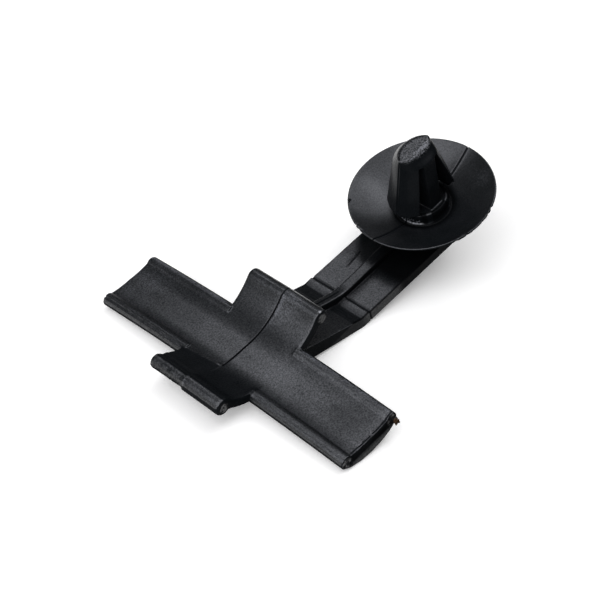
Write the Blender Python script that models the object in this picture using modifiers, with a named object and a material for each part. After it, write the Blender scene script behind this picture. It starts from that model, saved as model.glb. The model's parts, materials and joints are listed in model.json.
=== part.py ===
"""Standoff bundling clip, moulded in one piece.

A cross-shaped tray holds a taped wire bundle: a long shallow trough with a deeper saddle
across its middle. A cranked arm with a rib down its back carries the tray off to one side
of a push-in pin, whose dished washer seals the panel hole and whose two sprung wings hold
it there.

The clip is drawn as it sits in a panel: the pin's axis is Z, the panel's face is z = 0 and
the tray lies towards -X. At the end it is laid down the way it comes to rest on a table.
"""
import math

import bmesh
import bpy
from mathutils import Matrix, Vector

MM = 0.001
NAME = "bundling_clip"

# Tray: shared by the trough and the saddle
PIN_TO_TRAY = 30.86 * MM
TRAY_LIFT = 2.37 * MM
TRAY_TILT = math.radians(4.0)
FLOOR_HALF = 1.1 * MM
CHANNEL_RADIUS = 7.8 * MM
BOW_RADIUS = 235.0 * MM

# Trough
TROUGH_LENGTH = 38.4 * MM
TROUGH_BEAD_HALF = 3.55 * MM
TROUGH_BEAD_RADIUS = 0.83 * MM
TROUGH_LIP_RISE = 0.15 * MM
TROUGH_FLOOR_WALL = 2.1 * MM
BEAD_RUN_ON = 0.4 * MM

# Saddle
SADDLE_LENGTH = 11.0 * MM
SADDLE_WRAP = math.radians(49.2)
SADDLE_WALL = 1.2 * MM
SADDLE_RIM_RADIUS = 1.0 * MM

# Arm: a strip with a crease where its sloping part meets its level part
ARM_WIDTH = 9.26 * MM
PIN_TO_CREASE = 15.47 * MM
CREASE_DROP = 3.74 * MM
FAR_SLOPE = math.radians(3.3)
FAR_WALL = 1.4 * MM
ROOT_FROM_TRAY = 5.33 * MM
ROOT_WALL = 2.12 * MM
BEND_RADIUS = 2.2 * MM
LAND_LENGTH = 1.45 * MM
LAND_RISE = 0.16 * MM

# Rib along the middle of the arm
RIB_WIDTH = 1.4 * MM
RIB_HEIGHT_AT_ROOT = 0.76 * MM
RIB_HEIGHT_AT_CREASE = 0.6 * MM
RIB_HEIGHT_AT_PIN = 1.4 * MM
RIB_BLEND_RADIUS = 8.0 * MM

# Dished washer, its neck and the boss inside it
DISH_RADIUS = 9.0 * MM
DISH_DEPTH = 2.8 * MM
DISH_WALL = 1.0 * MM
DISH_RIM_WALL = 0.3 * MM
HUB_RADIUS = 3.1 * MM
BOSS_TOP = -1.0 * MM
HUB_FILLET = 0.4 * MM

# Arrowhead pin
TIP_HEIGHT = 7.62 * MM
TIP_ROUND = 0.5 * MM
TIP_FLAT_HALF_X = 2.35 * MM
TIP_FLAT_HALF_Y = 1.3 * MM
HEAD_TOP_HALF_X = 2.7 * MM
HEAD_TOP_HALF_Y = 2.3 * MM
HEAD_TAPER_X = 0.274
HEAD_TAPER_Y = 0.242
PANEL_GAP = 0.03 * MM
WING_WALL = 1.32 * MM
SLOT_TOP = 6.38 * MM
SLOT_CORNER = 0.22 * MM
POST_HALF_X = 0.95 * MM
POST_HALF_Y = 2.25 * MM
WING_EDGE = 0.25 * MM

# Stub of the moulding's gate, left on one end of the trough
GATE_RADIUS = 0.65 * MM
GATE_TIP_RADIUS = 0.48 * MM
GATE_LENGTH = 0.6 * MM

# Edge rounding and how finely round forms are divided
TROUGH_END_ROUND = 0.22 * MM
SADDLE_END_ROUND = 0.4 * MM
ARM_EDGE_ROUND = 0.15 * MM
RIB_EDGE_ROUND = 0.2 * MM
CHANNEL_STEPS = 22
BEAD_STEPS = 12
TROUGH_STATIONS = 18
SADDLE_STATIONS = 6
DISH_STEPS = 72
DISH_RINGS = 9
HEAD_ARC_STEPS = 16
CONE_STEPS = 4
TIP_STEPS = 3
FILLET_STEPS = 5
WELD = 0.001 * MM

PLASTIC_COLOUR = (0.034, 0.035, 0.038, 1.0)
PLASTIC_ROUGHNESS = 0.55


def clear_scene():
    for item in list(bpy.data.objects):
        bpy.data.objects.remove(item, do_unlink=True)


def new_collection(name):
    group = bpy.data.collections.new(name)
    bpy.context.scene.collection.children.link(group)
    return group


def black_plastic():
    material = bpy.data.materials.new("black_plastic")
    material.use_nodes = True
    shader = material.node_tree.nodes["Principled BSDF"]
    shader.inputs["Base Color"].default_value = PLASTIC_COLOUR
    shader.inputs["Roughness"].default_value = PLASTIC_ROUGHNESS
    shader.inputs["Metallic"].default_value = 0.0
    return material


def evaluated_copy(item):
    """Replaces an object by a plain mesh of its evaluated shape, welded and facing out."""
    bpy.context.view_layer.update()
    graph = bpy.context.evaluated_depsgraph_get()
    data = bpy.data.meshes.new_from_object(item.evaluated_get(graph))
    solid = bpy.data.objects.new(item.name + "_solid", data)
    solid.matrix_world = item.matrix_world.copy()
    item.users_collection[0].objects.link(solid)
    name = item.name
    bpy.data.objects.remove(item, do_unlink=True)
    solid.name = name
    mesh = bmesh.new()
    mesh.from_mesh(data)
    bmesh.ops.remove_doubles(mesh, verts=mesh.verts, dist=WELD)
    bmesh.ops.recalc_face_normals(mesh, faces=mesh.faces)
    mesh.to_mesh(data)
    mesh.free()
    return solid


def flat_solid(group, name, outline, half_depth, turn=(0.0, 0.0, 0.0)):
    """A filled flat outline with depth to both sides of its plane."""
    data = bpy.data.curves.new(name, "CURVE")
    data.dimensions = "2D"
    data.fill_mode = "BOTH"
    data.extrude = half_depth
    spline = data.splines.new("POLY")
    spline.points.add(len(outline) - 1)
    for point, (across, up) in zip(spline.points, outline):
        point.co = (across, up, 0.0, 1.0)
    spline.use_cyclic_u = True
    curve = bpy.data.objects.new(name, data)
    group.objects.link(curve)
    curve.rotation_euler = turn
    return evaluated_copy(curve)


SIDE_VIEW = (math.pi / 2, 0.0, 0.0)
END_VIEW = (math.pi / 2, 0.0, math.pi / 2)


def round_edges(solid, width, angle, segments=2):
    bevel = solid.modifiers.new("edge", "BEVEL")
    bevel.width = width
    bevel.segments = segments
    bevel.limit_method = "ANGLE"
    bevel.angle_limit = angle
    bevel.use_clamp_overlap = True
    return evaluated_copy(solid)


def combine(body, tool, operation):
    """Joins, cuts or keeps the shared part of two closed solids and removes the second."""
    boolean = body.modifiers.new(operation.lower(), "BOOLEAN")
    boolean.operation = operation
    boolean.solver = "EXACT"
    boolean.object = tool
    result = evaluated_copy(body)
    bpy.data.objects.remove(tool, do_unlink=True)
    return result


def arc(centre, radius, start, end, steps):
    """Points along an arc, both ends included."""
    points = []
    for i in range(steps + 1):
        angle = start + (end - start) * i / steps
        points.append((centre[0] + radius * math.cos(angle), centre[1] + radius * math.sin(angle)))
    return points


def angle_to(centre, point):
    return math.atan2(point[1] - centre[1], point[0] - centre[0])


def circles_meet(centre_a, radius_a, centre_b, radius_b):
    """The two points where two circles cross, the one further left first."""
    dx = centre_b[0] - centre_a[0]
    dy = centre_b[1] - centre_a[1]
    gap = math.hypot(dx, dy)
    along = (gap * gap + radius_a ** 2 - radius_b ** 2) / (2 * gap)
    off = math.sqrt(radius_a ** 2 - along ** 2)
    middle = (centre_a[0] + along * dx / gap, centre_a[1] + along * dy / gap)
    first = (middle[0] - off * dy / gap, middle[1] + off * dx / gap)
    second = (middle[0] + off * dy / gap, middle[1] - off * dx / gap)
    return sorted((first, second))


def fillet(corners):
    """A closed outline from (x, z, radius) corners, each rounded by an arc of its radius."""
    outline = []
    count = len(corners)
    for i, (x, z, radius) in enumerate(corners):
        corner = Vector((x, z))
        before = (Vector(corners[i - 1][:2]) - corner).normalized()
        after = (Vector(corners[(i + 1) % count][:2]) - corner).normalized()
        half_angle = before.angle(after) / 2
        if radius == 0.0:
            outline.append((x, z))
            continue
        start = corner + before * radius / math.tan(half_angle)
        centre = corner + (before + after).normalized() * radius / math.sin(half_angle)
        turn = (start - centre).angle_signed(corner + after * radius / math.tan(half_angle) - centre)
        first = math.atan2(start.y - centre.y, start.x - centre.x)
        outline += arc(centre, radius, first, first - turn, FILLET_STEPS)
    return outline


def mirrored(half):
    """A closed section from its right half, which runs from the top middle to the bottom middle."""
    inner = [point for point in half if point[0] > WELD]
    middle = [point for point in half if point[0] <= WELD]
    left = [(-x, z) for x, z in reversed(inner)]
    return middle[:1] + inner + middle[1:] + left


CHANNEL_CENTRE = (FLOOR_HALF, CHANNEL_RADIUS)


def trough_section():
    """The trough's wall: the channel, a bead along each edge and a rounder outside."""
    lip_across = TROUGH_BEAD_HALF - FLOOR_HALF
    surface = CHANNEL_RADIUS - math.sqrt(CHANNEL_RADIUS ** 2 - lip_across ** 2)
    bead = (TROUGH_BEAD_HALF, surface + TROUGH_LIP_RISE - TROUGH_BEAD_RADIUS)
    lip = circles_meet(CHANNEL_CENTRE, CHANNEL_RADIUS, bead, TROUGH_BEAD_RADIUS)[0]
    below = bead[1] + TROUGH_FLOOR_WALL
    span = bead[0] ** 2 + below ** 2 - TROUGH_BEAD_RADIUS ** 2
    outer_radius = span / (2 * (below - TROUGH_BEAD_RADIUS))
    outer_centre = (0.0, outer_radius - TROUGH_FLOOR_WALL)
    touch = angle_to(outer_centre, bead)
    half = [(0.0, 0.0)]
    lip_angle = angle_to(CHANNEL_CENTRE, lip)
    half += arc(CHANNEL_CENTRE, CHANNEL_RADIUS, -math.pi / 2, lip_angle, CHANNEL_STEPS // 2)
    half += arc(bead, TROUGH_BEAD_RADIUS, angle_to(bead, lip), touch, BEAD_STEPS)[1:]
    half += arc(outer_centre, outer_radius, touch, -math.pi / 2, CHANNEL_STEPS // 2)[1:-1]
    half += [(0.0, -TROUGH_FLOOR_WALL)]
    return mirrored(half)


def saddle_section():
    """The saddle's wall: the same channel carried up into two wings with thick rims."""
    outside = CHANNEL_RADIUS + SADDLE_WALL
    reach = CHANNEL_RADIUS + SADDLE_RIM_RADIUS
    top = SADDLE_WRAP - math.pi / 2
    rim = (FLOOR_HALF + reach * math.cos(top), CHANNEL_RADIUS + reach * math.sin(top))
    under = circles_meet(CHANNEL_CENTRE, outside, rim, SADDLE_RIM_RADIUS)[0]
    half = [(0.0, 0.0)]
    half += arc(CHANNEL_CENTRE, CHANNEL_RADIUS, -math.pi / 2, top, CHANNEL_STEPS)
    half += arc(rim, SADDLE_RIM_RADIUS, top + math.pi, angle_to(rim, under), BEAD_STEPS)[1:]
    half += arc(CHANNEL_CENTRE, outside, angle_to(CHANNEL_CENTRE, under), -math.pi / 2, CHANNEL_STEPS)[1:]
    half += [(0.0, -SADDLE_WALL)]
    return mirrored(half)


def saddle_bay_section():
    """What is cleared from the trough inside the saddle, down into the saddle's own wall."""
    depth = CHANNEL_RADIUS + SADDLE_WALL / 2
    reach = TROUGH_BEAD_HALF + 2 * TROUGH_BEAD_RADIUS
    side = math.acos((reach - FLOOR_HALF) / depth)
    half = [(0.0, CHANNEL_RADIUS), (reach, CHANNEL_RADIUS)]
    half += arc(CHANNEL_CENTRE, depth, -side, -math.pi / 2, CHANNEL_STEPS // 2)
    half += [(0.0, -SADDLE_WALL / 2)]
    return mirrored(half)


def bowed_sweep(group, name, section, length, stations):
    """Carries a section along Y on the tray's long bow, by extruding its face station by station."""
    mesh = bmesh.new()
    ys = [length * (i / stations - 0.5) for i in range(stations + 1)]
    drops = [y * y / (2 * BOW_RADIUS) for y in ys]
    rings = []
    for y, drop in zip(ys, drops):
        rings.append([mesh.verts.new((x, y, z - drop)) for x, z in section])
    for near, far in zip(rings, rings[1:]):
        for i in range(len(section)):
            j = (i + 1) % len(section)
            mesh.faces.new((near[i], near[j], far[j], far[i]))
    mesh.faces.new(rings[0])
    mesh.faces.new(rings[-1])
    bmesh.ops.recalc_face_normals(mesh, faces=mesh.faces)
    data = bpy.data.meshes.new(name)
    mesh.to_mesh(data)
    mesh.free()
    solid = bpy.data.objects.new(name, data)
    group.objects.link(solid)
    return solid


def tray_place():
    """From the tray's own axes, with its floor line at the origin, to the clip's."""
    return Matrix.Translation((-PIN_TO_TRAY, 0.0, TRAY_LIFT)) @ Matrix.Rotation(TRAY_TILT, 4, "Y")


def tray(group):
    trough = bowed_sweep(group, "trough", trough_section(), TROUGH_LENGTH, TROUGH_STATIONS)
    trough = round_edges(trough, TROUGH_END_ROUND, math.radians(50))
    bay = bowed_sweep(group, "bay", saddle_bay_section(), SADDLE_LENGTH - 2 * BEAD_RUN_ON, SADDLE_STATIONS)
    trough = combine(trough, bay, "DIFFERENCE")
    saddle = bowed_sweep(group, "saddle", saddle_section(), SADDLE_LENGTH, SADDLE_STATIONS)
    saddle = round_edges(saddle, SADDLE_END_ROUND, math.radians(50), 3)
    whole = combine(saddle, trough, "UNION")
    whole = combine(whole, gate_stub(group), "UNION")
    whole.data.transform(tray_place())
    return whole


def gate_stub(group):
    """The short broken stub at the trough's end, on the bead on the arm's side."""
    bpy.ops.mesh.primitive_cone_add(
        vertices=7, radius1=GATE_TIP_RADIUS, radius2=GATE_RADIUS, depth=2 * GATE_LENGTH,
        rotation=(-math.pi / 2, 0.0, 0.0))
    stub = bpy.context.object
    end_drop = (TROUGH_LENGTH / 2) ** 2 / (2 * BOW_RADIUS)
    stub.location = (
        TROUGH_BEAD_HALF + TROUGH_BEAD_RADIUS / 4, -TROUGH_LENGTH / 2,
        -end_drop - TROUGH_BEAD_RADIUS / 2)
    stub.name = "gate_stub"
    for owner in list(stub.users_collection):
        owner.objects.unlink(stub)
    group.objects.link(stub)
    return evaluated_copy(stub)


def far_top(x):
    return -CREASE_DROP - (x + PIN_TO_CREASE) * math.tan(FAR_SLOPE)


def far_under(x):
    return far_top(x) - FAR_WALL / math.cos(FAR_SLOPE)


def root_place():
    """Where the strip's top reaches the level of the trough's underside."""
    return -PIN_TO_TRAY + ROOT_FROM_TRAY, TRAY_LIFT - TROUGH_FLOOR_WALL


def on_line(start, end, x):
    """The height at x of the straight line through two points."""
    return start[1] + (end[1] - start[1]) * (x - start[0]) / (end[0] - start[0])


def arm(group):
    """The strip: it leaves the tray's underside, slopes down to the crease and runs level to the pin."""
    crease = -PIN_TO_CREASE
    middle = -PIN_TO_TRAY
    end = ARM_WIDTH / 2
    land = (crease - LAND_LENGTH, far_top(crease) + LAND_RISE)
    bend = (land[0], far_under(land[0]))
    root = root_place()
    root_under = (root[0], root[1] - ROOT_WALL)
    deep = (middle + root[0]) / 2
    corners = [
        (middle, on_line(bend, root_under, middle), 0.0),
        (*bend, BEND_RADIUS),
        (end, far_under(end), 0.0),
        (end, far_top(end), 0.0),
        (crease, far_top(crease), 0.0),
        (crease - LAND_RISE, land[1], 0.0),
        (*land, 3 * LAND_RISE),
        (deep, on_line(land, root, deep), 0.0),
        (middle, on_line(land, root, deep), 0.0),
    ]
    strip = flat_solid(group, "arm", fillet(corners), ARM_WIDTH / 2, SIDE_VIEW)
    half = ARM_WIDTH / 2
    plan = [(2 * middle, -half)] + arc((0.0, 0.0), half, -math.pi / 2, math.pi / 2, DISH_STEPS // 3)
    plan += [(2 * middle, half)]
    keep = flat_solid(group, "arm_plan", plan, PIN_TO_TRAY)
    strip = combine(strip, keep, "INTERSECT")
    return round_edges(strip, ARM_EDGE_ROUND, math.radians(50))


def rib(group):
    """The rib stands on the strip from the tray's back to the pin's neck."""
    crease = -PIN_TO_CREASE
    root = root_place()
    knee = (crease, far_top(crease) + RIB_HEIGHT_AT_CREASE)
    root_top = (root[0], root[1] + RIB_HEIGHT_AT_ROOT)
    deep = root[0] - TROUGH_FLOOR_WALL
    sunk = FAR_WALL / 2
    corners = [
        (deep, root[1] - sunk, 0.0),
        (crease, far_top(crease) - sunk, 0.0),
        (0.0, far_top(0.0) - sunk, 0.0),
        (0.0, far_top(0.0) + RIB_HEIGHT_AT_PIN, 0.0),
        (*knee, RIB_BLEND_RADIUS),
        (deep, on_line(knee, root_top, deep), 0.0),
    ]
    blade = flat_solid(group, "rib", fillet(corners), RIB_WIDTH / 2, SIDE_VIEW)
    return round_edges(blade, RIB_EDGE_ROUND, math.radians(50))


def dish_profile():
    """Half the washer's section, from its boss's top middle down to its neck's foot."""
    sphere = (DISH_RADIUS ** 2 + DISH_DEPTH ** 2) / (2 * DISH_DEPTH)

    def inside(r):
        return -DISH_DEPTH + sphere - math.sqrt(sphere ** 2 - r ** 2)

    def wall(r):
        share = (r - HUB_RADIUS) / (DISH_RADIUS - HUB_RADIUS)
        return DISH_WALL + (DISH_RIM_WALL - DISH_WALL) * share

    rim = DISH_RIM_WALL / 2
    shoulder = (HUB_RADIUS - HUB_FILLET, BOSS_TOP - HUB_FILLET)
    points = [(0.0, BOSS_TOP)]
    points += arc(shoulder, HUB_FILLET, math.pi / 2, 0.0, 4)
    points += [(HUB_RADIUS, inside(HUB_RADIUS) + HUB_FILLET)]
    radii = [HUB_RADIUS + HUB_FILLET + (DISH_RADIUS - rim - HUB_RADIUS - HUB_FILLET) * i / DISH_RINGS
             for i in range(DISH_RINGS + 1)]
    points += [(r, inside(r)) for r in radii]
    edge = (DISH_RADIUS - rim, inside(DISH_RADIUS - rim) - rim)
    lean = math.asin((DISH_RADIUS - rim) / sphere)
    points += arc(edge, rim, math.pi / 2 + lean, -math.pi / 2 + lean, 6)[1:-1]
    points += [(r, inside(r) - wall(r)) for r in reversed(radii)]
    points += [(HUB_RADIUS, inside(HUB_RADIUS) - DISH_WALL - HUB_FILLET)]
    points += [(HUB_RADIUS, far_top(0.0) - FAR_WALL / 2), (0.0, far_top(0.0) - FAR_WALL / 2)]
    return points


def dish(group):
    """The dished washer with its neck and boss, turned about the pin's axis."""
    mesh = bmesh.new()
    verts = [mesh.verts.new((r, 0.0, z)) for r, z in dish_profile()]
    for upper, lower in zip(verts, verts[1:]):
        mesh.edges.new((upper, lower))
    data = bpy.data.meshes.new("dish")
    mesh.to_mesh(data)
    mesh.free()
    turned = bpy.data.objects.new("dish", data)
    group.objects.link(turned)
    screw = turned.modifiers.new("turn", "SCREW")
    screw.steps = DISH_STEPS
    screw.render_steps = DISH_STEPS
    screw.use_merge_vertices = True
    screw.merge_threshold = WELD
    return evaluated_copy(turned)


def lens(half_x, half_y):
    """Two equal arcs that meet in an edge on the mould's parting plane, y = 0."""
    radius = (half_x ** 2 + half_y ** 2) / (2 * half_y)
    reach = math.asin(half_x / radius)
    front = arc((0.0, half_y - radius), radius, math.pi / 2 - reach, math.pi / 2 + reach, HEAD_ARC_STEPS)
    back = [(-x, -y) for x, y in front]
    return front[:-1] + back[:-1]


def head_half(z):
    """The head's half widths at a height: it grows evenly from its shoulder down."""
    down = TIP_HEIGHT - TIP_ROUND - z
    return HEAD_TOP_HALF_X + HEAD_TAPER_X * down, HEAD_TOP_HALF_Y + HEAD_TAPER_Y * down


def head_levels():
    """Heights and half widths up the head: an eased foot, a straight cone and a rounded tip."""
    foot = head_half(PANEL_GAP)
    levels = [(PANEL_GAP, foot[0] - WING_EDGE, foot[1] - WING_EDGE)]
    low = PANEL_GAP + WING_EDGE
    shoulder = TIP_HEIGHT - TIP_ROUND
    for i in range(CONE_STEPS + 1):
        z = low + (shoulder - low) * i / CONE_STEPS
        levels.append((z, *head_half(z)))
    for i in range(1, TIP_STEPS + 1):
        angle = math.pi / 2 * i / TIP_STEPS
        half_x = TIP_FLAT_HALF_X + (HEAD_TOP_HALF_X - TIP_FLAT_HALF_X) * math.cos(angle)
        half_y = TIP_FLAT_HALF_Y + (HEAD_TOP_HALF_Y - TIP_FLAT_HALF_Y) * math.cos(angle)
        levels.append((shoulder + TIP_ROUND * math.sin(angle), half_x, half_y))
    return levels


def head_cone(group):
    """The arrowhead before it is slotted, lofted through lens-shaped levels."""
    levels = head_levels()
    mesh = bmesh.new()
    rings = [[mesh.verts.new((x, y, z)) for x, y in lens(half_x, half_y)] for z, half_x, half_y in levels]
    for lower, upper in zip(rings, rings[1:]):
        for i in range(len(lower)):
            j = (i + 1) % len(lower)
            mesh.faces.new((lower[i], lower[j], upper[j], upper[i]))
    mesh.faces.new(rings[0])
    mesh.faces.new(rings[-1])
    bmesh.ops.recalc_face_normals(mesh, faces=mesh.faces)
    data = bpy.data.meshes.new("head")
    mesh.to_mesh(data)
    mesh.free()
    solid = bpy.data.objects.new("head", data)
    group.objects.link(solid)
    return solid


def pin(group):
    """Two sprung wings hang from the tip, on either side of a post that carries it."""
    head = head_cone(group)
    below = BOSS_TOP - HUB_FILLET
    top_x = head_half(SLOT_TOP)[0] - WING_WALL
    foot_x = head_half(below)[0] - WING_WALL
    arch = fillet([
        (-foot_x, below, 0.0), (foot_x, below, 0.0),
        (top_x, SLOT_TOP, SLOT_CORNER), (-top_x, SLOT_TOP, SLOT_CORNER)])
    head = combine(head, flat_solid(group, "slots", arch, 2 * HUB_RADIUS, SIDE_VIEW), "DIFFERENCE")
    inside_head = TIP_HEIGHT - 2 * TIP_ROUND
    side = [
        (-POST_HALF_Y, below), (POST_HALF_Y, below),
        (POST_HALF_Y, inside_head), (-POST_HALF_Y, inside_head)]
    post = flat_solid(group, "post", side, POST_HALF_X, END_VIEW)
    return combine(head, post, "UNION")


def rest_edge(solid):
    """The two lowest outline points, seen from the side, that the clip's weight falls between."""
    mesh = bmesh.new()
    mesh.from_mesh(solid.data)
    bmesh.ops.triangulate(mesh, faces=mesh.faces)
    weight = 0.0
    moment = Vector((0.0, 0.0))
    for face in mesh.faces:
        a, b, c = (corner.co for corner in face.verts)
        share = a.dot(b.cross(c))
        weight += share
        moment += share * Vector((a.x + b.x + c.x, a.z + b.z + c.z)) / 4
    mesh.free()
    centre = moment / weight
    hull = []
    for point in sorted({(v.co.x, v.co.z) for v in solid.data.vertices}):
        point = Vector(point)
        while len(hull) > 1 and (hull[-1] - hull[-2]).cross(point - hull[-2]) <= 0.0:
            hull.pop()
        hull.append(point)
    for left, right in zip(hull, hull[1:]):
        along = (centre - left).dot(right - left) / (right - left).length_squared
        if 0.0 < along < 1.0:
            return left, right
    raise ValueError("the clip has no side to rest on")


def lay_down(solid):
    """Turns the clip about Y onto its resting edge, with the origin under the middle of its box."""
    left, right = rest_edge(solid)
    tip = math.atan2(right.y - left.y, right.x - left.x)
    solid.data.transform(Matrix.Rotation(tip, 4, "Y"))
    spans = [[v.co[axis] for v in solid.data.vertices] for axis in range(3)]
    shift = Vector((
        -(min(spans[0]) + max(spans[0])) / 2,
        -(min(spans[1]) + max(spans[1])) / 2,
        -min(spans[2])))
    solid.data.transform(Matrix.Translation(shift))


def main():
    clear_scene()
    group = new_collection("standoff_bundling_clip")
    clip = tray(group)
    for piece in (arm(group), rib(group), dish(group), pin(group)):
        clip = combine(clip, piece, "UNION")
    clip.name = NAME
    clip.data.name = NAME
    clip.data.materials.clear()
    clip.data.materials.append(black_plastic())
    clip.data.polygons.foreach_set("material_index", [0] * len(clip.data.polygons))
    lay_down(clip)
    clip.data.shade_smooth()
    clip.data.set_sharp_from_angle(angle=math.radians(32))


main()
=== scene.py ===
"""Looks of the standoff bundling clip: black moulded nylon on a white table.

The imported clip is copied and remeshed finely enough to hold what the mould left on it: soft
edges, the parting line, the seams along the front bead, nicks on the washer and the torn gate.
Sizes and places are in mm, in the clip's own axes: the pin's foot is the origin, the pin is +Z,
the tray lies towards -X and the mould parts on y = 0. The tray has axes of its own: x across it,
y along it as in the clip's axes, and z as its height.
"""
import json
import math

import bpy
import numpy as np
from mathutils import Euler, Matrix, Vector


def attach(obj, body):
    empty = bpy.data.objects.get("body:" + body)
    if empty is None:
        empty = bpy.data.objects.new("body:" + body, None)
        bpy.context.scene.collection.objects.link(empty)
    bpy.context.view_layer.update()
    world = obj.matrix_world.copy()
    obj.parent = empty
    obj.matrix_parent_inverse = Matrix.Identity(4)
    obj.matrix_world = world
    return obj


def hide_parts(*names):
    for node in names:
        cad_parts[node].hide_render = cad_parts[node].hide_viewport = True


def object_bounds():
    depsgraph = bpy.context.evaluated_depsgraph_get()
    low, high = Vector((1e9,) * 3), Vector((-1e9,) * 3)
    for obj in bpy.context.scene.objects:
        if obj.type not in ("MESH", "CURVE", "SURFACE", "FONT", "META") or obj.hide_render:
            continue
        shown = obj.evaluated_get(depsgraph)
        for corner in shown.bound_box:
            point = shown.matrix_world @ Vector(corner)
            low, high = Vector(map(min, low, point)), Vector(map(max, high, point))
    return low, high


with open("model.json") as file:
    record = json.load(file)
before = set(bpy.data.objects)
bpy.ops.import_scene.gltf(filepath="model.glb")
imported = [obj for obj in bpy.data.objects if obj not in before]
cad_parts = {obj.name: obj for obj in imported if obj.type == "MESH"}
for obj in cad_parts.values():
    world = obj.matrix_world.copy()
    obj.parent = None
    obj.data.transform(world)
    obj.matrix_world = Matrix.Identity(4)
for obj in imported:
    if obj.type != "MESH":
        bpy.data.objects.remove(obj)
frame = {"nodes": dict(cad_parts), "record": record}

CAD_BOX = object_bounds()
MM = 0.001

# The clip's main places, from its drawing
TIP_HEIGHT = 7.62
PIN_TO_TRAY = 30.86
TRAY_LIFT = 2.37
TRAY_TILT = math.radians(4.0)
BOW_RADIUS = 235.0
TROUGH_END = 19.2
BEAD_ACROSS = 3.55
BEAD_RADIUS = 0.83
BEAD_RISE = 0.15
SADDLE_END = 5.5
SADDLE_WRAP = math.radians(49.2)
SADDLE_RIM_RADIUS = 1.0
CHANNEL_RADIUS = 7.8
FLOOR_HALF = 1.1
TROUGH_HALF = 4.0
DISH_RADIUS = 9.0
BOSS_RADIUS = 3.3
ARM_TOP = -3.0
ARM_HALF = 4.63
RIB_HALF = 0.7

# The remeshed skin
MERGE = 0.0005
GRID = 0.1
SOFTEN_SHARE = 0.5
SOFTEN_REPEATS = 1
SEAM_STRIP = 0.3
MOST_TRIANGLES = 190000
LUMP_WAVES = 12
FACES_UP = 0.3

# Parting line: a hairline groove beside a low ridge of flash
SEAM_WIDTH = 0.08
SEAM_DEPTH = 0.1
FLASH_WIDTH = 1.2 * SEAM_WIDTH
FLASH_HEIGHT = 0.02
FLASH_OFFSET = 0.2

# Seams along the front bead, as angles round it from the channel's side
CREST_ANGLE = math.radians(112)
OUTER_ANGLE = math.radians(152)
CREST_WIDTH = 0.11
CREST_DEPTH = 0.13
OUTER_DEPTH = 0.04

# The front wing, in the tray's axes: the foot of its rim, and the line where its face starts
RIM_FOOT = -7.42
WING_FOOT = -3.04
WING_SLANT = 0.14
STEP_DEPTH = 0.02
LIP_HEIGHT = 0.03
FAR_RIM_DROP = 0.12
NEAR_RIM_RISE = 0.06

# The gate's end: the line of the mould's insert with its gap, the burr, the recess and the stub
INSERT_LINE = -18.72
INSERT_GAP = 0.6
INSERT_DEPTH = 0.13
BURR_START = -19.1
BURR_WIDTH = 0.18
BURR_HEIGHT = 0.06
RECESS_HEIGHT = -1.6
RECESS_DEPTH = 0.12
STUB_WEAR = 0.06

# The arm: its crease, the ripples beyond it and the scratch on the strip
CREASE_X = -15.5
LAND_X = -16.9
SCRATCH_X = -11.53
SCRATCH_Y = 2.46
SCRATCH_SLANT = 0.09
CREASE_DEPTH = 0.16
SIDE_CREASE_DEPTH = 0.08
RIPPLE_DEPTH = 0.02
SCRATCH_DEPTH = 0.07
SCRATCH_BURR = 0.03

# The pin: its wings and their hanging feet, the tip's shoulders and the groove round the boss
WING_START = 2.3
WING_END = 5.0
FOOT_HALF = 2.4
FAR_FOOT = 1.2
NEAR_FOOT = 0.3
SHOULDER_HEIGHT = 1.5
NEAR_SHOULDER = 0.38
FAR_SHOULDER = 0.27
GROOVE_RADIUS = BOSS_RADIUS + 0.05
GROOVE_WIDTH = 0.28
GROOVE_DEPTH = 0.08

# Nicks in the washer's rim, in degrees round the pin: each one's two ends and how soft they are
NICKS = ((-113.0, -98.0, 2.0), (-86.0, -70.0, 2.0), (158.0, 166.0, 1.0))
NICK_DEPTH = 0.1

# The nylon's colours: its own dark and pale tones, a painted shade, a painted highlight, a scorch mark
# and painted glints
DARK_NYLON = (0.0038, 0.0046, 0.0052, 1.0)
PALE_NYLON = (0.006, 0.0068, 0.0076, 1.0)
SHADED_NYLON = (0.001, 0.001, 0.001, 1.0)
PAINTED_HIGHLIGHT_NYLON = (0.09, 0.092, 0.1, 1.0)
SCORCHED = (0.05, 0.026, 0.011, 1.0)
PAINTED_GLINT_COLOUR = (0.4, 0.4, 0.41, 1.0)
DEEP_SHADE = 0.75
BOSS_SHADE = 0.6

# Its gloss: on open faces, on the near walls and the far ones, and what dulls it; the line, wing, boss
# and deep dulling is painted shade
FACE_GLOSS = 0.7
WALL_GLOSS = 0.04
FAR_WALL_GLOSS = 0.6
ARM_WALL_GLOSS = 0.4
GATE_END_GLOSS = 0.32
CLOUD_GLOSS = 0.1
LINE_DULLING = 0.9
WING_DULLING = 0.75
BOSS_DULLING = 0.92
DEEP_DULLING = 0.85
RIB_DULLING = 0.14
COAT_IOR = 1.66
COAT_ROUGHNESS = 0.3
BASE_ROUGHNESS = 0.35
GRAIN_ROUGHNESS = 0.2
CLOUD_ROUGHNESS = 0.05

# How strongly the grain breaks up the gloss: round the pin, elsewhere, and on the tip besides
WASHER_CONTRAST = 0.9
TRAY_CONTRAST = 1.8
TIP_CONTRAST = 2.6

# How bright the painted speck highlights are: on the boss, and at the tip's two ends
BOSS_SPECKS = 2.4
TIP_SPECKS = (0.7, 2.4)

# The mould's grain and other speckle, as noise cells in a metre, and the grain's height
GRAIN_SCALE = 5600.0
CLOUD_SCALE = 420.0
SPECK_SCALE = 4200.0
TORN_SCALE = 2200.0
GRAIN_HEIGHT = 0.05
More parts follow.
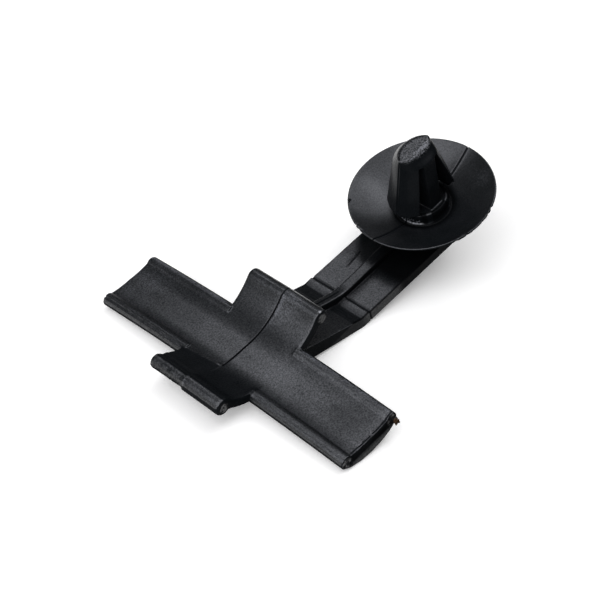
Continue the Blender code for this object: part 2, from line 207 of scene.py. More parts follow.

# Patches of painted sheen and painted shade, where the gloss is raised or lowered, and a few small
# stains: the place in the tray's axes, the reach and the change
SHEEN_SHADE_AND_STAIN_PATCHES = (
    ((0.2, 17.0, 0.0), 7.0, 1.4),
    ((0.8, -6.0, 0.0), 5.0, 1.35),
    ((0.9, -10.8, 0.0), 3.2, 1.2),
    ((26.9, 5.65, -1.6), 3.4, 0.75),
    ((37.7, -4.2, -0.6), 3.0, 1.4),
    ((0.4, -15.2, 0.0), 2.6, 0.8),
    ((1.6, -16.4, 0.0), 3.0, 0.85),
    ((7.2, -1.4, 2.8), 3.0, 1.55),
    ((5.4, -0.4, 1.3), 2.6, 1.4),
    ((7.3, 3.0, 2.7), 2.4, 1.2),
    ((0.0, 14.6, 0.0), 1.1, 0.6),
    ((-2.0, 16.1, 0.3), 0.8, 0.65),
    ((0.65, -13.6, 0.0), 1.0, 0.65),
    ((0.1, -13.0, 0.0), 0.4, 0.4),
    ((0.5, -13.1, 0.0), 0.3, 1.5),
    ((0.7, -14.9, 0.0), 1.0, 0.78),
    ((3.2, -7.2, 0.6), 0.6, 0.8),
)

# Torn ends, and painted glints, pale specks that stand for tiny highlights: the place in the tray's
# axes, the reach and the strength
TORN_ENDS = (
    ((7.76, -5.5, 2.0), 0.75, 0.4),
    ((-7.76, -5.5, 2.0), 0.7, 0.5),
    ((-3.6, -19.2, -1.07), 0.8, 0.9),
    ((3.5, -19.2, -1.0), 0.8, 0.9),
)
PAINTED_GLINT_SPOTS = (
    ((7.81, -5.29, 3.0), 0.2, 0.5),
    ((3.62, -0.02, 0.55), 0.12, 0.25),
    ((4.55, 0.0, 0.9), 0.12, 0.25),
    ((14.68, 0.58, -4.08), 0.15, 0.3),
    ((15.4, 0.62, -4.3), 0.12, 0.25),
    ((16.12, 0.6, -4.35), 0.12, 0.25),
)

# Camera, in the clip's own axes, with its lens as pixels of the photo
CAMERA_PLACE = Vector((-82.897, -90.125, 133.282))
CAMERA_TURN = Euler([math.radians(angle) for angle in (38.4395, 10.4065, -47.1466)])
PHOTO_SIZE = 600
FOCAL_PIXELS = 1498.5
SENSOR = 36.0
NEAREST = 0.01
FARTHEST = 20.0

# Softboxes: where each stands seen from the clip and its half angle, in degrees, and its radiance
SOFTBOXES = {
    "left_softbox": (187.0, 36.0, 37.0, 2.2),
    "back_softbox": (69.0, 54.0, 6.0, 3.5),
    "right_softbox": (353.0, 55.0, 19.0, 1.85),
    "top_softbox": (290.0, 88.0, 31.0, 1.3),
}
LAMP_DISTANCE = 1.2
LAMP_COLOUR = (0.96, 0.98, 1.06)

# The table, in metres, and the studio's light: its low wall, its ceiling and the slopes between them
TABLE_SIZE = 12.0
TABLE_COLOUR = (0.95, 0.93, 0.87, 1.0)
TABLE_ROUGHNESS = 0.9
TABLE_GLOW = 0.23
WALL_TOP = 0.08
CEILING_START = 0.24
WALL_LIGHT = 0.25
CEILING_LIGHT = 0.08


def clip_axes():
    """The matrix from the clip's own axes to the frame, read from the mount on the pin's tip."""
    tip = next(m for m in frame["record"]["mounts"] if m["name"] == "pin_tip")
    pin = Vector(tip["axis"]).normalized()
    foot = Vector(tip["pos_m"]) - pin * (TIP_HEIGHT * MM)
    return Matrix.Translation(foot) @ Matrix.Rotation(math.atan2(pin.x, pin.z), 4, "Y")


# CLIP and the mesh are in metres. TO_CLIP and TO_TRAY turn a place in the frame into mm.
CLIP = clip_axes()
TRAY = Matrix.Translation((-PIN_TO_TRAY, 0.0, TRAY_LIFT)) @ Matrix.Rotation(TRAY_TILT, 4, "Y")
TO_CLIP = Matrix.Scale(1 / MM, 4) @ CLIP.inverted()
TO_TRAY = TRAY.inverted() @ TO_CLIP
PIN_AXIS = tuple(CLIP.to_3x3() @ Vector((0.0, 0.0, 1.0)))


def wing_foot_line(y):
    """Where the front wing's face starts, across the tray: it slants along the tray."""
    return WING_FOOT - WING_SLANT * y


def scratch_line(x):
    """Where the scratch on the arm's strip runs: its y at an x."""
    return SCRATCH_Y + SCRATCH_SLANT * (x - SCRATCH_X)


def deselect():
    bpy.ops.object.select_all(action="DESELECT")


def select_only(item):
    deselect()
    item.select_set(True)
    bpy.context.view_layer.objects.active = item


# Shapes over the skin, as arrays with one value per vertex

def hill(distance, width):
    return np.exp(-(distance / width) ** 2)


def ramp(value, low, high):
    """Rises smoothly from 0 at low to 1 at high."""
    share = np.clip((value - low) / (high - low), 0.0, 1.0)
    return share * share * (3 - 2 * share)


def band(value, low, high, edge):
    """1 between low and high, with soft edges outside them."""
    return ramp(value, low - edge, low) * (1 - ramp(value, high, high + edge))


class Skin:
    """The moulding's vertices in mm, in the clip's own axes and the tray's."""

    def __init__(self, body):
        self.mesh = body.data
        count = len(self.mesh.vertices)
        self.place = np.empty((count, 3))
        self.normal = np.empty((count, 3))
        self.mesh.vertices.foreach_get("co", self.place.ravel())
        self.place /= MM
        self.measure()

    def measure(self):
        self.mesh.vertices.foreach_get("normal", self.normal.ravel())
        self.x, self.y, self.z = self.place.T.copy()
        self.side = np.abs(self.y)
        self.radius = np.hypot(self.x, self.y)
        to_tray = np.array(TRAY.inverted())
        self.across, _, height = (self.place @ to_tray[:3, :3].T + to_tray[:3, 3]).T
        self.level = height + self.y ** 2 / (2 * BOW_RADIUS)
        self.up = self.normal @ to_tray[:3, :3].T[:, 2]
        self.on_tray = 1 - ramp(self.x, 8.0 - PIN_TO_TRAY, 9.0 - PIN_TO_TRAY)
        self.on_saddle = self.on_tray * band(self.y, -SADDLE_END, SADDLE_END, edge=0.3)

    def look_again(self):
        """Takes the places as they now are as the shape that later reliefs go by."""
        self.keep()
        self.measure()

    def lift(self, heights):
        """Moves each vertex along its normal."""
        self.place += self.normal * heights[:, None]

    def keep(self):
        self.mesh.vertices.foreach_set("co", (self.place * MM).ravel())
        self.mesh.update()

    def lumps(self, size, height, seed):
        """Smooth random relief, about as high and as deep as height, from waves in many directions."""
        chance = np.random.default_rng(seed)
        total = np.zeros(len(self.place))
        for _ in range(LUMP_WAVES):
            way = chance.normal(size=3)
            way *= 2 * math.pi * chance.uniform(0.6, 1.4) / (size * np.linalg.norm(way))
            total += np.sin(self.place @ way + chance.uniform(0, 2 * math.pi))
        return height * total / math.sqrt(LUMP_WAVES)


def pin_shape(skin):
    """The tip's sloping shoulders, the wings' rounded feet and the groove round the boss."""
    shoulder = ramp(skin.z, TIP_HEIGHT - SHOULDER_HEIGHT, TIP_HEIGHT - 0.1)
    skin.place[:, 1] *= 1 - np.where(skin.y < 0, NEAR_SHOULDER, FAR_SHOULDER) * shoulder
    on_wing = ramp(np.abs(skin.x), WING_START, WING_START + 0.4) * (skin.radius < WING_END)
    on_wing *= skin.z > -0.4
    foot = on_wing * (1 - ramp(skin.side, FOOT_HALF / 2, FOOT_HALF)) * (1 - ramp(skin.z, 0.4, 2.4))
    length = np.where(skin.x > 0, FAR_FOOT, NEAR_FOOT)
    groove = hill(skin.radius - GROOVE_RADIUS, GROOVE_WIDTH) * band(skin.z, ARM_TOP, -1.6, edge=0.1)
    skin.place[:, 2] -= length * foot + GROOVE_DEPTH * groove * (skin.normal[:, 2] > 0.1)
    skin.look_again()


def parting_line(skin):
    """The hairline on y = 0, over the saddle, the washer and the pin. It is shallow on the saddle."""
    where = np.maximum(skin.on_saddle, 1 - ramp(skin.radius, DISH_RADIUS, DISH_RADIUS + 1.0))
    where *= np.maximum(skin.on_saddle, band(skin.z, ARM_TOP, TIP_HEIGHT - 0.4, edge=0.2))
    groove = SEAM_DEPTH * hill(skin.y, SEAM_WIDTH) * (1 - 0.6 * skin.on_saddle)
    flash = FLASH_HEIGHT * hill(skin.y + FLASH_OFFSET, FLASH_WIDTH) * (1 - skin.on_saddle)
    return where * (flash - groove)


def bead_level():
    """How high the middle of a bead lies: the bead stands a little above the channel's edge."""
    edge = CHANNEL_RADIUS - math.sqrt(CHANNEL_RADIUS ** 2 - (BEAD_ACROSS - FLOOR_HALF) ** 2)
    return edge + BEAD_RISE - BEAD_RADIUS


def bead_seams(skin):
    """The seams along the front bead: one on its crest and a fainter one outside it."""
    outward = -skin.across - BEAD_ACROSS
    above = skin.level - bead_level()
    reach = np.hypot(outward, above)
    angle = np.arctan2(above, -outward)
    on_bead = skin.on_tray * (skin.across < 0) * hill(reach - BEAD_RADIUS, 0.4)
    on_bead *= ramp(skin.side, SADDLE_END, SADDLE_END + 0.5)
    crest = hill((angle - CREST_ANGLE) * BEAD_RADIUS, CREST_WIDTH)
    outer = hill((angle - OUTER_ANGLE) * BEAD_RADIUS, CREST_WIDTH)
    return -on_bead * (CREST_DEPTH * crest + OUTER_DEPTH * outer)


def saddle_rims(skin):
    """The front wing's rim: lumpy and low on the far half, prouder on the near half."""
    middle = CHANNEL_RADIUS + SADDLE_RIM_RADIUS
    rim_across = -(FLOOR_HALF + middle * math.sin(SADDLE_WRAP))
    rim_level = CHANNEL_RADIUS - middle * math.cos(SADDLE_WRAP)
    reach = np.hypot(skin.across - rim_across, skin.level - rim_level)
    on_rim = skin.on_saddle * (1 - ramp(reach, 1.1, 1.6))
    far = ramp(skin.y, 0.1, 0.25)
    rough = skin.lumps(size=1.9, height=0.016, seed=3) + skin.lumps(size=0.45, height=0.009, seed=5)
    return on_rim * (far * (rough - FAR_RIM_DROP) + (1 - far) * NEAR_RIM_RISE)


def wing_foot(skin):
    """On its far half the front wing starts behind the trough's lip, with a small step down."""
    beyond = wing_foot_line(skin.y) - skin.across
    where = skin.on_saddle * (skin.up > FACES_UP) * ramp(skin.y, -0.1, 0.1)
    step = ramp(beyond, 0.0, 0.2) * (1 - ramp(beyond, 0.8, 3.0))
    lip = hill(beyond + 0.12, 0.14) * band(skin.y, 0.1, 0.6, edge=0.4)
    return where * (LIP_HEIGHT * lip - STEP_DEPTH * step)


def end_burr(skin):
    """At the gate's end, a burr on the edge and the line of the mould's insert behind it."""
    top = skin.on_tray * (skin.up > FACES_UP) * band(skin.across, -3.2, 4.0, edge=0.2)
    ragged = skin.lumps(size=1.1, height=1.0, seed=11)
    unbroken = (1 - hill(skin.across - INSERT_GAP, 0.3)) * ramp(skin.across, -1.6, -0.6)
    line = hill(skin.y - INSERT_LINE + 0.05 * ragged, 0.1) * unbroken
    burr = band(skin.y, BURR_START, BURR_START + BURR_WIDTH, edge=0.06) * (0.7 + 0.4 * ragged)
    return top * (BURR_HEIGHT * burr - INSERT_DEPTH * line)


def end_face(skin):
    """The gate's end face: uneven, with the front bead's end torn and its lower part prouder."""
    face = skin.on_tray * ramp(-skin.y, TROUGH_END - 0.25, TROUGH_END - 0.05)
    bead = hill(skin.across + BEAD_ACROSS, 0.7)
    uneven = skin.lumps(size=1.3, height=0.012, seed=17)
    torn = np.minimum(skin.lumps(size=0.5, height=0.16, seed=19), 0.0) * bead
    upper = ramp(skin.level, -1.15, -0.85)
    return face * (uneven + torn - RECESS_DEPTH * upper)


def torn_gate(skin):
    """The gate's stub is ragged where it broke off."""
    stub = ramp(-skin.y, TROUGH_END + 0.02, TROUGH_END + 0.2) * (skin.across > 2.4)
    coarse = skin.lumps(size=0.7, height=0.11, seed=23)
    fine = skin.lumps(size=0.3, height=0.05, seed=29)
    return stub * (coarse + fine - STUB_WEAR)


def arm_marks(skin):
    """The crease, the ripples of the bend beyond it, and the scratch on the strip."""
    on_top = band(skin.x, -20.0, -6.0, edge=0.1) * (skin.normal[:, 2] > 0.35) * (skin.z < -2.0)
    beside_rib = ramp(skin.side, RIB_HALF + 0.1, RIB_HALF + 0.35)
    crease = hill(skin.x - CREASE_X, 0.14)
    ripples = hill(skin.x - LAND_X + 0.3, 0.1) + hill(skin.x - LAND_X + 0.75, 0.1)
    bend = beside_rib * (CREASE_DEPTH * crease + RIPPLE_DEPTH * ripples)
    along = band(skin.x, -11.5, -8.9, edge=0.15)
    off_line = skin.y - scratch_line(skin.x)
    scratch = along * hill(off_line, 0.07)
    burr = along * (1 - ramp(skin.x, -10.7, -10.2)) * hill(off_line - 0.28, 0.11)
    on_side = band(skin.z, -6.4, -3.5, edge=0.1) * (np.abs(skin.normal[:, 1]) > 0.7)
    on_side *= ramp(skin.side, ARM_HALF - 0.3, ARM_HALF - 0.1)
    side_crease = SIDE_CREASE_DEPTH * hill(skin.x - CREASE_X + 0.1, 0.1)
    return on_top * (SCRATCH_BURR * burr - SCRATCH_DEPTH * scratch - bend) - on_side * side_crease


def washer_nicks(skin):
    """Small nicks where flash was trimmed off the washer's rim."""
    turn = np.degrees(np.arctan2(skin.y, skin.x))
    rim = band(skin.radius, DISH_RADIUS - 0.2, DISH_RADIUS + 0.2, edge=0.4) * (skin.z > -1.0)
    trimmed = sum(band(turn, start, end, edge) for start, end, edge in NICKS)
    return -NICK_DEPTH * rim * trimmed * np.maximum(skin.lumps(size=0.8, height=1.0, seed=31), -0.2)


def easy_surface(skin):
    """The slight waviness that mouldings cool with."""
    return skin.lumps(size=7.0, height=0.008, seed=41) + skin.lumps(size=2.6, height=0.0015, seed=43)


def worked(skin):
    pin_shape(skin)
    for relief in (parting_line, bead_seams, saddle_rims, wing_foot, end_burr, end_face, torn_gate,
                   arm_marks, washer_nicks, easy_surface):
        skin.lift(relief(skin))


# The moulding

def fine_skin():
    """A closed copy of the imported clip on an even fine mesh, in its own axes."""
    source = frame["nodes"]["bundling_clip"]
    body = source.copy()
    body.data = source.data.copy()
    body.name = "clip_moulding"
    body.parent = None
    body.matrix_world = Matrix.Identity(4)
    bpy.context.scene.collection.objects.link(body)
    select_only(body)
    bpy.ops.object.mode_set(mode="EDIT")
    bpy.ops.mesh.select_all(action="SELECT")
    bpy.ops.mesh.remove_doubles(threshold=MERGE * MM)
    bpy.ops.object.mode_set(mode="OBJECT")
    body.data.transform(CLIP.inverted())
    body.data.remesh_voxel_size = GRID * MM
    body.data.remesh_voxel_adaptivity = 0.0
    bpy.ops.object.voxel_remesh()
    bpy.ops.object.mode_set(mode="EDIT")
    bpy.ops.mesh.select_all(action="SELECT")
    bpy.ops.mesh.vertices_smooth(factor=SOFTEN_SHARE, repeat=SOFTEN_REPEATS)
    bpy.ops.mesh.select_all(action="DESELECT")
    bpy.ops.object.mode_set(mode="OBJECT")
    refine(body)
    return body


def refine(body):
    """Divides the faces beside the parting plane, where the finest lines are."""
    mesh = body.data
    centres = np.empty((len(mesh.polygons), 3))
    mesh.polygons.foreach_get("center", centres.ravel())
    mesh.polygons.foreach_set("select", np.abs(centres[:, 1]) < SEAM_STRIP * MM)
    bpy.ops.object.mode_set(mode="EDIT")
    bpy.ops.mesh.select_mode(type="FACE")
    bpy.ops.mesh.subdivide(number_cuts=1)
    bpy.ops.object.mode_set(mode="OBJECT")


def thin_out(body):
    """Fewer faces where the surface is even."""
    select_only(body)
    body.data.calc_loop_triangles()
    thin = body.modifiers.new("thin_out", "DECIMATE")
    thin.ratio = min(1.0, MOST_TRIANGLES / len(body.data.loop_triangles))
    bpy.ops.object.modifier_apply(modifier=thin.name)
    bpy.ops.object.shade_smooth()


def keep_in_box(mesh):
    """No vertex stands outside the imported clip's box."""
    place = np.empty((len(mesh.vertices), 3))
    mesh.vertices.foreach_get("co", place.ravel())
    mesh.vertices.foreach_set("co", np.clip(place, *CAD_BOX).ravel())
    mesh.update()


def moulding():
    body = fine_skin()
    skin = Skin(body)
    worked(skin)
    skin.keep()
    thin_out(body)
    body.data.transform(CLIP)
    keep_in_box(body.data)
    body.data.materials.clear()
    body.data.materials.append(black_nylon())
    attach(body, "root")
    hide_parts("bundling_clip")


# Shader writing

class Wire:
    """A shader socket that can be used in sums: each operator adds its own Math node."""

    def __init__(self, tree, socket):
        self.tree = tree
        self.socket = socket

    def maths(self, operation, *others, clamp=False):
        values = dict(enumerate((self,) + others))
        return add_node(self.tree, "Math", {"operation": operation, "use_clamp": clamp}, values)

    def clamped(self):
        """The same value, kept between 0 and 1."""
        return self.maths("MULTIPLY", 1.0, clamp=True)

    def size(self):
        """The same value without its sign."""
        return self.maths("ABSOLUTE")

    def __add__(self, other):
        return self.maths("ADD", other)

    def __sub__(self, other):
        return self.maths("SUBTRACT", other)

    def __mul__(self, other):
        return self.maths("MULTIPLY", other)

    def __rsub__(self, other):
        return self * -1.0 + other

    __radd__ = __add__
    __rmul__ = __mul__


def plug(tree, value, socket):
    if isinstance(value, Wire):
        tree.links.new(value.socket, socket)
    else:
        socket.default_value = value


def add_node(tree, kind, settings=None, inputs=None, output=0):
    """Adds a shader node of a type, with its settings first and then its sockets' values or links."""
    node = tree.nodes.new("ShaderNode" + kind)
    for name, value in (settings or {}).items():
        setattr(node, name, value)
    for name, value in (inputs or {}).items():
        plug(tree, value, node.inputs[name])
    return Wire(tree, node.outputs[output])


def grey(level):
    return (level, level, level, 1.0)


def strongest(first, *others):
    """The greatest of several masks, point by point."""
    for other in others:
        first = first.maths("MAXIMUM", other)
    return first


class Finish:
    """A material under construction."""

    def __init__(self, name):
        self.material = bpy.data.materials.new(name)
        self.material.use_nodes = True
        self.tree = self.material.node_tree
        self.shader = self.tree.nodes["Principled BSDF"]
        self.output = self.tree.nodes["Material Output"]

    def node(self, kind, settings=None, inputs=None, output=0):
        return add_node(self.tree, kind, settings, inputs, output)

    def set(self, name, value):
        plug(self.tree, value, self.shader.inputs[name])


class Nylon(Finish):
    """The nylon under construction, with the places in mm and the directions that its masks go by."""

    def __init__(self, name):
        super().__init__(name)
        self.place = self.node("TexCoord", output="Object")
        self.x, self.y, self.z = (self.coordinate(TO_CLIP[axis]) for axis in range(3))
        self.side = self.y.size()
        self.off_axis = (self.x * self.x + self.y * self.y).maths("SQRT")
        self.across = self.coordinate(TO_TRAY[0])
        self.height = self.coordinate(TO_TRAY[2])
        self.in_tray = self.node("CombineXYZ", {}, {"X": self.across, "Y": self.y, "Z": self.height})
        self.on_arm = self.fall(self.z, ARM_TOP, ARM_TOP + 0.1)
        self.look_round()

    def look_round(self):
        """How far the surface faces backwards, sideways, and up the pin and not to the near side."""
        facing = self.node("NewGeometry", output="Normal")
        self.backwards = self.node("SeparateXYZ", {}, {"Vector": facing}, output="X")
        self.sideways = self.node("SeparateXYZ", {}, {"Vector": facing}, output="Y")
        up = self.node("VectorMath", {"operation": "DOT_PRODUCT"},
                       {0: facing, 1: PIN_AXIS}, output="Value")
        self.upright = up - 0.5 * (self.sideways * -1.0).maths("MAXIMUM", 0.0)

    def coordinate(self, row):
        """One coordinate of the place in mm, by a row of the matrix to the clip's or tray's axes."""
        turned = self.node("VectorMath", {"operation": "DOT_PRODUCT"},
                           {0: self.place, 1: tuple(row[:3])}, output="Value")
        return turned + row[3]

    def distance(self, spot):
        """How far the place is from a spot that is given in the tray's axes."""
        return self.node("VectorMath", {"operation": "DISTANCE"},
                         {0: self.in_tray, 1: spot}, output="Value")

    def noise(self, scale, detail=1.0, roughness=0.5):
        return self.node("TexNoise", {}, {
            "Vector": self.place, "Scale": scale, "Detail": detail, "Roughness": roughness})

    def fade(self, value, low, high, before=0.0, after=1.0):
        """Changes smoothly from one number to another as the value goes from low to high."""
        return self.node("MapRange", {"interpolation_type": "SMOOTHSTEP"}, {
            "Value": value, "From Min": low, "From Max": high, "To Min": before, "To Max": after})

    def fall(self, value, low, high):
        """Falls smoothly from 1 to 0 as the value goes from low to high."""
        return self.fade(value, low, high, before=1.0, after=0.0)

    def between(self, value, rise, drop):
        """Comes up over the rise and goes down again over the drop, each given by its two ends."""
        return self.fade(value, *rise) * self.fall(value, *drop)

    def near(self, distance, inner, outer, most=1.0):
        """Full up to the inner distance, on either side, and nothing beyond the outer one."""
        return self.fade(distance.size(), inner, outer, before=most, after=0.0)

    def spots(self, marks):
        """The sum of small round marks, each with its place in the tray's axes, its reach and its
        strength."""
        total = 0.0
        for spot, reach, strength in marks:
            total = self.fade(self.distance(spot), 0.7 * reach, reach, strength, 0.0) + total
        return total

    def tint(self, colour, share, other):
        """Mixes a share of another colour into a colour."""
        return self.node("Mix", {"data_type": "RGBA"}, {
            "Factor": share, "A": colour, "B": other}, output="Result")


# The nylon's masks

def under_near_wing(nylon):
    """The side of the boss that lies under the near wing."""
    return (nylon.fall(nylon.off_axis, BOSS_RADIUS - 0.08, BOSS_RADIUS)
            * nylon.fall(nylon.x, -WING_START - 0.3, -WING_START) * nylon.fall(nylon.y, 0.7, 1.0))


def painted_speck_highlights(nylon):
    """Rough specks of extra gloss, a painted highlight where they run past full: on the tip's rounded
    edge, and on the boss under the near wing.
    """
    tip = nylon.fade(nylon.z, TIP_HEIGHT - 0.5, TIP_HEIGHT - 0.3) * nylon.fall(nylon.y, -0.65, -0.45)
    tip = tip * nylon.fade(nylon.x, -2.0, 1.5, *TIP_SPECKS)
    boss = under_near_wing(nylon) * nylon.fade(nylon.off_axis, BOSS_RADIUS - 0.45, BOSS_RADIUS - 0.35)
    boss = boss * nylon.between(nylon.z, (-2.35, -2.25), (-1.7, -1.6))
    return nylon.fade(nylon.noise(SPECK_SCALE), 0.38, 0.62) * (tip + boss * BOSS_SPECKS)


def wall_sheen(nylon):
    """Walls that shine: the far ones, and a little the torn ends, the lower half of the gate's end
    and the arm's sides."""
    far = strongest(nylon.fade(nylon.sideways, -0.05, 0.35, WALL_GLOSS, FAR_WALL_GLOSS),
                    nylon.fade(nylon.backwards, 0.3, 0.8, WALL_GLOSS, FAR_WALL_GLOSS))
    lower = (nylon.fall(nylon.y, BURR_START, BURR_START + 0.15)
             * nylon.fall(nylon.height, RECESS_HEIGHT - 0.2, RECESS_HEIGHT - 0.06))
    torn = nylon.spots(TORN_ENDS) * nylon.fade(nylon.noise(TORN_SCALE), 0.42, 0.56, 0.1, 1.3)
    return far + lower * GATE_END_GLOSS + torn + nylon.on_arm * ARM_WALL_GLOSS


def face_gloss(nylon):
    """Full gloss on the faces that the mould opened from, a little on its drawn walls."""
    opened = nylon.fade(nylon.upright, 0.3, 0.58)
    return opened + wall_sheen(nylon) * (1 - opened) + painted_speck_highlights(nylon)


def grain_contrast(nylon):
    """How strongly the grain breaks up the gloss."""
    return (nylon.fade(nylon.off_axis, DISH_RADIUS, DISH_RADIUS + 1.0, WASHER_CONTRAST, TRAY_CONTRAST)
            + nylon.fade(nylon.z, TIP_HEIGHT - 0.4, TIP_HEIGHT - 0.3, 0.0, TIP_CONTRAST))


def line_and_land_painted_shade(nylon):
    """Painted shade as gloss taken away in grooves and edges: the parting line, the crease, the foot of
    the front rim, the trough's back edge and the insert's line. The arm beyond its crease has less gloss
    too, as painted shade."""
    above_arm = nylon.between(nylon.z, (ARM_TOP, ARM_TOP + 0.1), (TIP_HEIGHT - 0.35, TIP_HEIGHT - 0.2))
    seam = above_arm * nylon.fade(nylon.across, -3.3, -3.0) * nylon.fall(nylon.side, 0.07, 0.16)
    beside_rib = nylon.on_arm * nylon.fade(nylon.side, RIB_HALF, RIB_HALF + 0.1)
    crease = beside_rib * nylon.near(nylon.x - CREASE_X, 0.06, 0.2)
    on_saddle = nylon.fall(nylon.side, SADDLE_END, SADDLE_END + 0.1)
    rim_foot = on_saddle * nylon.near(nylon.across - RIM_FOOT, 0.05, 0.18)
    back_edge = (nylon.fade(nylon.side, SADDLE_END, SADDLE_END + 0.1)
                 * nylon.between(nylon.across, (TROUGH_HALF - 0.04, TROUGH_HALF + 0.04), (6.0, 7.0)))
    unbroken = (nylon.fade(nylon.across, -2.9, -2.4)
                * nylon.fade((nylon.across - INSERT_GAP).size(), 0.1, 0.2))
    insert = unbroken * nylon.near(nylon.y - INSERT_LINE + 0.04, 0.05, 0.13)
    lines = strongest(seam, crease, rim_foot * 0.8, back_edge, insert)
    land = 1 - (1 - nylon.fade(nylon.x, -17.0, -15.8, before=0.4)) * nylon.on_arm
    return land * (1 - LINE_DULLING * lines)


def wing_painted_shade(nylon):
    """Painted shade on the front wing's inner face, as less gloss: cut off sharply on the far half,
    softly on the near one.
    """
    beyond = wing_foot_line(nylon.y) - nylon.across
    far = nylon.fade(nylon.y, -0.3, 0.3)
    start = far * nylon.fade(beyond, -0.05, 0.15) + (1 - far) * nylon.fade(beyond, -1.2, 1.4)
    on_wing = (nylon.fall(nylon.side, SADDLE_END, SADDLE_END + 0.2)
               * nylon.fade(nylon.across, RIM_FOOT - 0.1, RIM_FOOT))
    return 1 - WING_DULLING * on_wing * start


def painted_edge_highlights(nylon):
    """Painted highlights as raised gloss, a paler colour where it runs past full: the back bead's crest,
    the gate's end, the front rim's step and near half, and the back wing beside its parting line."""
    crest = (nylon.between(nylon.across, (3.5, 3.85), (TROUGH_HALF - 0.06, TROUGH_HALF))
             * nylon.fade(nylon.side, SADDLE_END, SADDLE_END + 1.0))
    end = nylon.between(nylon.y, (-18.9, -18.8), (-18.2, -17.2))
    on_rim = nylon.fall(nylon.across, RIM_FOOT - 0.1, RIM_FOOT)
    step = on_rim * nylon.near(nylon.y + 0.08, 0.06, 0.2)
    near_rim = on_rim * nylon.fall(nylon.y, -0.1, 0.1)
    beside_line = (nylon.between(nylon.across, (3.0, 4.5), (7.0, 7.6))
                   * nylon.between(nylon.y, (-0.7, -0.3), (-0.2, -0.12)))
    return 1 + crest + 0.2 * end + 0.5 * step + 0.15 * near_rim + 0.35 * beside_line


def boss_root_painted_shade(nylon):
    """Painted shade in the crevice round the boss's foot: the boss and the root of the dish round it get
    a darker colour and less gloss.

    The shade is left off a few places on its top edge and the side under the near wing, where the lamps'
    highlights show."""
    turn = nylon.y.maths("ARCTAN2", nylon.x).maths("DEGREES")
    root = (nylon.between(nylon.off_axis, (2.5, 2.7), (3.5, 4.5))
            * nylon.between(nylon.z, (-3.2, -3.0), (-0.9, -0.7)))
    left_lit = nylon.fall(nylon.off_axis, BOSS_RADIUS - 0.1, BOSS_RADIUS) * (
        nylon.between(turn, (-68.0, -62.0), (-46.0, -36.0))
        + nylon.between(turn, (-131.0, -128.0), (-119.0, -116.0)))
    shining = (left_lit * 0.8 + under_near_wing(nylon)).maths("MINIMUM", 1.0)
    return root * (1 - shining)


def deep_shade(nylon):
    """Painted shade: places made nearly black in colour and gloss: the washer's shadow on the arm, the
    arm's near edge, the gate's recess, the scratch, the rib's shadow on the strip beside it and the
    parting line on the saddle."""
    x, y = nylon.x, nylon.y
    washer_shadow = (nylon.on_arm * nylon.fade(x, -11.2, -9.4)
               * nylon.fade(y, -1.0, 1.0, before=1.0, after=0.45))
    edge = (nylon.on_arm * nylon.fade(nylon.upright, 0.05, 0.25)
            * nylon.fall(y, 0.14 - ARM_HALF, 0.32 - ARM_HALF))
    recess = (nylon.fall(y, BURR_START, BURR_START + 0.1)
              * nylon.fade(nylon.height, RECESS_HEIGHT - 0.15, RECESS_HEIGHT))
    scratch = (nylon.on_arm * nylon.near(y - scratch_line(x), 0.04, 0.11, most=0.9)
               * nylon.between(x, (-11.6, -11.4), (-9.0, -8.8)))
    beside_rib = (nylon.on_arm * nylon.between(y, (-2.2, -1.1), (-RIB_HALF, 0.2 - RIB_HALF))
                  * nylon.fade(x, -17.0, -15.5, before=0.2, after=0.65))
    parted = (nylon.fall(nylon.side, 0.05, 0.13) * nylon.fall(x, -24.0, -23.0)
              * nylon.fade(nylon.across, -3.1, -2.9))
    return strongest(washer_shadow, edge, recess, scratch, beside_rib, parted)


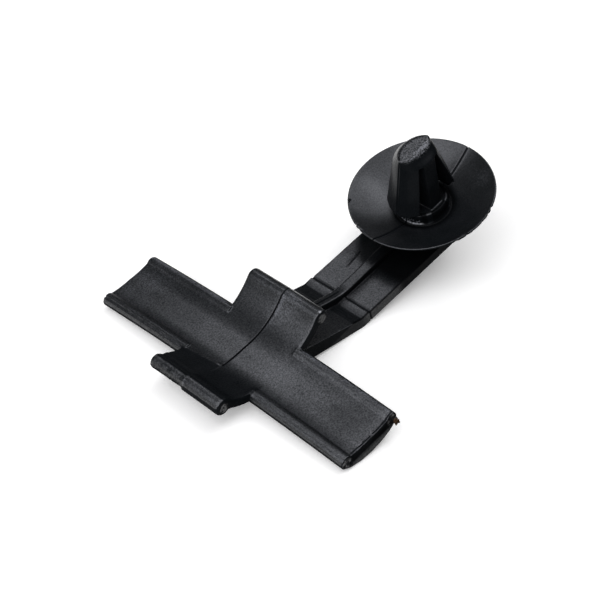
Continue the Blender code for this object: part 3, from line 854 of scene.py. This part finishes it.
def black_nylon():
    """Black nylon: a faint skin gloss where the mould's floor was fine, dull on its drawn walls.

    Its gloss is a coat over a nearly black base. Gloss above 1 shows as a paler colour, a painted
    highlight."""
    nylon = Nylon("black_nylon")
    grain = nylon.noise(GRAIN_SCALE, detail=1.5, roughness=0.6)
    cloud = nylon.noise(CLOUD_SCALE, detail=3.0, roughness=0.55)
    tone = nylon.node("MapRange", {}, {"Value": cloud, "From Min": 0.3, "From Max": 0.7})
    boss = boss_root_painted_shade(nylon)
    deep = deep_shade(nylon)
    rib = nylon.on_arm * nylon.fall(nylon.side, RIB_HALF, RIB_HALF + 0.2)

    broken = (grain - 0.5) * grain_contrast(nylon) + tone * CLOUD_GLOSS + FACE_GLOSS
    gloss = face_gloss(nylon) * broken
    # Painted sheen and shade, and small stains, as patches of more or less gloss.
    for spot, reach, change in SHEEN_SHADE_AND_STAIN_PATCHES:
        gloss = gloss * nylon.fade(nylon.distance(spot), 0.0, reach, before=change, after=1.0)
    # Painted shade cuts the gloss in lines, on the front wing, round the boss and in deep places;
    # painted highlights raise it at edges.
    gloss = gloss * line_and_land_painted_shade(nylon) * wing_painted_shade(nylon)
    gloss = gloss * (1 - BOSS_DULLING * boss) * (1 - DEEP_DULLING * deep)
    gloss = gloss * (1 - RIB_DULLING * rib) * painted_edge_highlights(nylon)

    scorched = nylon.fade(nylon.y, -TROUGH_END - 0.16, -TROUGH_END - 0.06, before=0.8, after=0.0)
    colour = nylon.tint(DARK_NYLON, tone, PALE_NYLON)
    # Painted shade round the boss's foot.
    colour = nylon.tint(colour, boss * BOSS_SHADE, SHADED_NYLON)
    # Painted shade: nearly black in the deep places, as under the washer and beside the rib.
    colour = nylon.tint(colour, deep * DEEP_SHADE, SHADED_NYLON)
    colour = nylon.tint(colour, scorched * nylon.fade(cloud, 0.45, 0.55), SCORCHED)
    # Painted glints: pale specks standing for tiny highlights.
    colour = nylon.tint(colour, nylon.spots(PAINTED_GLINT_SPOTS).clamped(), PAINTED_GLINT_COLOUR)
    # Painted highlight: where the gloss runs past full, the colour turns paler.
    colour = nylon.tint(colour, (gloss - 1.0).clamped(), PAINTED_HIGHLIGHT_NYLON)

    nylon.set("Base Color", colour)
    nylon.set("Specular IOR Level", 0.0)
    nylon.set("Roughness", grain * GRAIN_ROUGHNESS + tone * CLOUD_ROUGHNESS + BASE_ROUGHNESS)
    nylon.set("Normal", nylon.node("Bump", {}, {
        "Height": grain, "Strength": 1.0, "Distance": GRAIN_HEIGHT * MM}))
    nylon.set("Coat Weight", gloss.clamped())
    nylon.set("Coat Roughness", COAT_ROUGHNESS)
    nylon.set("Coat IOR", COAT_IOR)
    return nylon.material


# The table, the light and the camera

def table():
    """A dull white table that also shows a little light of its own, which lights nothing."""
    deselect()
    bpy.ops.mesh.primitive_plane_add(size=TABLE_SIZE, location=(0.0, 0.0, 0.0))
    floor = bpy.context.object
    floor.name = "table"
    finish = Finish("white_table")
    finish.set("Base Color", TABLE_COLOUR)
    finish.set("Roughness", TABLE_ROUGHNESS)
    finish.set("Specular IOR Level", 0.0)
    straight, mirrored, through = (finish.node("LightPath", output=name) for name in
                                   ("Is Camera Ray", "Is Glossy Ray", "Is Transmission Ray"))
    glow = finish.node("Emission", {}, {
        "Color": grey(1.0), "Strength": (straight + mirrored + through) * TABLE_GLOW})
    both = finish.node("AddShader", {}, {0: Wire(finish.tree, finish.shader.outputs[0]), 1: glow})
    plug(finish.tree, both, finish.output.inputs["Surface"])
    floor.data.materials.append(finish.material)


def softbox(name, azimuth, elevation, spread, radiance):
    """A round diffused lamp that faces the clip."""
    turn, rise = math.radians(azimuth), math.radians(elevation)
    way = Vector((math.cos(rise) * math.cos(turn), math.cos(rise) * math.sin(turn), math.sin(rise)))
    radius = LAMP_DISTANCE * math.tan(math.radians(spread))
    data = bpy.data.lights.new(name, "AREA")
    data.shape = "DISK"
    data.size = 2 * radius
    data.energy = radiance * math.pi * math.pi * radius ** 2
    data.color = LAMP_COLOUR
    lamp = bpy.data.objects.new(name, data)
    bpy.context.scene.collection.objects.link(lamp)
    lamp.location = way * LAMP_DISTANCE
    lamp.rotation_euler = way.to_track_quat("Z", "Y").to_euler()
    lamp.visible_camera = False


def sky():
    """A dim studio with a pale wall low down all round."""
    world = bpy.data.worlds.new("studio")
    bpy.context.scene.world = world
    world.use_nodes = True
    tree = world.node_tree
    way = add_node(tree, "TexCoord", output="Generated")
    height = add_node(tree, "SeparateXYZ", {}, {"Vector": way}, output="Z")
    level = add_node(tree, "MapRange", {"interpolation_type": "SMOOTHSTEP"}, {
        "Value": height, "From Min": WALL_TOP, "From Max": CEILING_START,
        "To Min": WALL_LIGHT, "To Max": CEILING_LIGHT})
    background = tree.nodes["Background"]
    plug(tree, grey(1.0), background.inputs["Color"])
    plug(tree, level, background.inputs["Strength"])


def camera():
    data = bpy.data.cameras.new("camera")
    data.sensor_width = SENSOR
    data.lens = FOCAL_PIXELS / PHOTO_SIZE * SENSOR
    data.clip_start = NEAREST
    data.clip_end = FARTHEST
    view = bpy.data.objects.new("camera", data)
    bpy.context.scene.collection.objects.link(view)
    view.matrix_world = CLIP @ Matrix.Translation(CAMERA_PLACE * MM) @ CAMERA_TURN.to_matrix().to_4x4()
    bpy.context.scene.camera = view


def studio():
    table()
    sky()
    for name, light in SOFTBOXES.items():
        softbox(name, *light)
    camera()
    bpy.context.scene.view_settings.view_transform = "Standard"


moulding()
studio()
